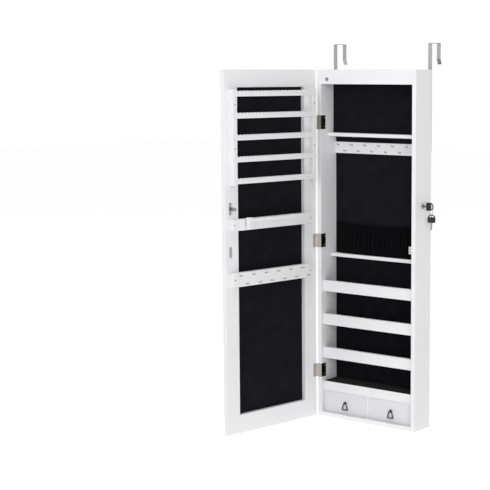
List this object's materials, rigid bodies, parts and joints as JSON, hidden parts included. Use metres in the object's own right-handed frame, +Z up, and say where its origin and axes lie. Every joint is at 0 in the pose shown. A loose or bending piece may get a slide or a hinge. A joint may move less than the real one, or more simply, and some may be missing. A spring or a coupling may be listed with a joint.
{
  "type": "mirror jewelry cabinet",
  "caption": "Tall shallow white cabinet with a full-length mirror door, black lined bays, trays, earring rack, drawers, lock and over-door hooks.",
  "frame": {"origin": "middle of the case's rear face, which rests against the wall or door", "axes": "+Z up, +Y back through the rear face, +X to the right as one faces the cabinet"},
  "size_m": [0.5401, 0.5534, 1.287],
  "materials": {
    "white_lacquer": "satin painted",
    "black_felt": "felt",
    "black_cloth": "gathered cloth",
    "mirror_glass": "polished",
    "hinge_nickel": "nickel plated",
    "strap_zinc": "zinc plated",
    "lock_chrome": "bright plated",
    "key_black": "moulded",
    "pull_black": "black lacquered",
    "screw_steel": "plated",
    "catch_plastic": "moulded",
    "switch_black": "moulded"
  },
  "bodies": {
    "case": {"side_panel_left": "white_lacquer", "side_panel_right": "white_lacquer", "top_board": "white_lacquer", "bottom_board": "white_lacquer", "back_panel": "white_lacquer", "back_lining": "black_felt", "top_rail": "white_lacquer", "upper_shelf": "white_lacquer", "brooch_pad": "black_felt", "necklace_plate_case": "white_lacquer", "necklace_hooks_case": "lock_chrome", "pouch": "black_cloth", "pouch_shelf": "white_lacquer", "tray_1": "white_lacquer", "tray_2": "white_lacquer", "tray_3": "white_lacquer", "drawer_deck": "white_lacquer", "drawer_divider": "white_lacquer", "magnetic_catch": "catch_plastic", "switch_body": "switch_black", "strap_left": "strap_zinc", "strap_right": "strap_zinc", "hinge_leaves_case": "hinge_nickel", "hinge_pins": "hinge_nickel", "screws_case": "screw_steel", "lock_body": "lock_chrome", "lock_nut": "lock_chrome"},
    "door": {"door_stile_hinge": "white_lacquer", "door_stile_free": "white_lacquer", "door_rail_top": "white_lacquer", "door_rail_bottom": "white_lacquer", "door_backing": "white_lacquer", "door_felt": "black_felt", "mirror": "mirror_glass", "rack_strip_hinge": "white_lacquer", "rack_strip_free": "white_lacquer", "earring_bars": "white_lacquer", "bracelet_plate": "white_lacquer", "bracelet_bar": "white_lacquer", "bracelet_stop": "white_lacquer", "necklace_plate_door": "white_lacquer", "necklace_hooks_door": "lock_chrome", "hinge_leaves_door": "hinge_nickel", "screws_door": "screw_steel", "strike_plate": "lock_chrome", "lock_keeper": "lock_chrome"},
    "drawer_left": {"drawer_front_left": "white_lacquer", "drawer_box_left": "white_lacquer", "pull_eye_left": "pull_black"},
    "drawer_right": {"drawer_front_right": "white_lacquer", "drawer_box_right": "white_lacquer", "pull_eye_right": "pull_black"},
    "pull_left": {"pull_ring_left": "pull_black"},
    "pull_right": {"pull_ring_right": "pull_black"},
    "lock": {"lock_plug": "lock_chrome", "lock_cam": "lock_chrome", "key_in_lock": "key_black"},
    "ring": {"key_ring": "lock_chrome"},
    "spare_key": {"key_spare": "key_black"},
    "switch": {"switch_button": "switch_black"}
  },
  "joints": [
    {"name": "door_hinge", "type": "hinge", "parent": "case", "child": "door", "pos_m": [-0.2028, -0.095, 0], "axis": [0, 0, -1], "range_deg": [-100, 75]},
    {"name": "drawer_left_slide", "type": "slide", "parent": "case", "child": "drawer_left", "axis": [0, -1, 0], "range_m": [0, 0.055]},
    {"name": "drawer_right_slide", "type": "slide", "parent": "case", "child": "drawer_right", "axis": [0, -1, 0], "range_m": [0, 0.055]},
    {"name": "pull_left_swing", "type": "hinge", "parent": "drawer_left", "child": "pull_left", "pos_m": [-0.0945, -0.0818, -0.546], "axis": [-1, 0, 0], "range_deg": [0, 95]},
    {"name": "pull_right_swing", "type": "hinge", "parent": "drawer_right", "child": "pull_right", "pos_m": [0.0945, -0.0818, -0.546], "axis": [-1, 0, 0], "range_deg": [0, 95]},
    {"name": "lock_turn", "type": "hinge", "parent": "case", "child": "lock", "pos_m": [0.202, -0.0485, 0.153], "axis": [1, 0, 0], "range_deg": [0, 90]},
    {"name": "key_ring_swing", "type": "hinge", "parent": "lock", "child": "ring", "pos_m": [0.2335, -0.0485, 0.1471], "axis": [0.9659, 0.2588, 0], "range_deg": [-18, 18]},
    {"name": "spare_key_slip", "type": "hinge", "parent": "ring", "child": "spare_key", "pos_m": [0.2335, -0.0485, 0.1346], "axis": [0.9659, 0.2588, 0], "range_deg": [-100, 100]},
    {"name": "switch_press", "type": "slide", "parent": "case", "child": "switch", "axis": [0, 1, 0], "range_m": [0, 0.0012], "stiffness_N_per_m": 150}
  ]
}
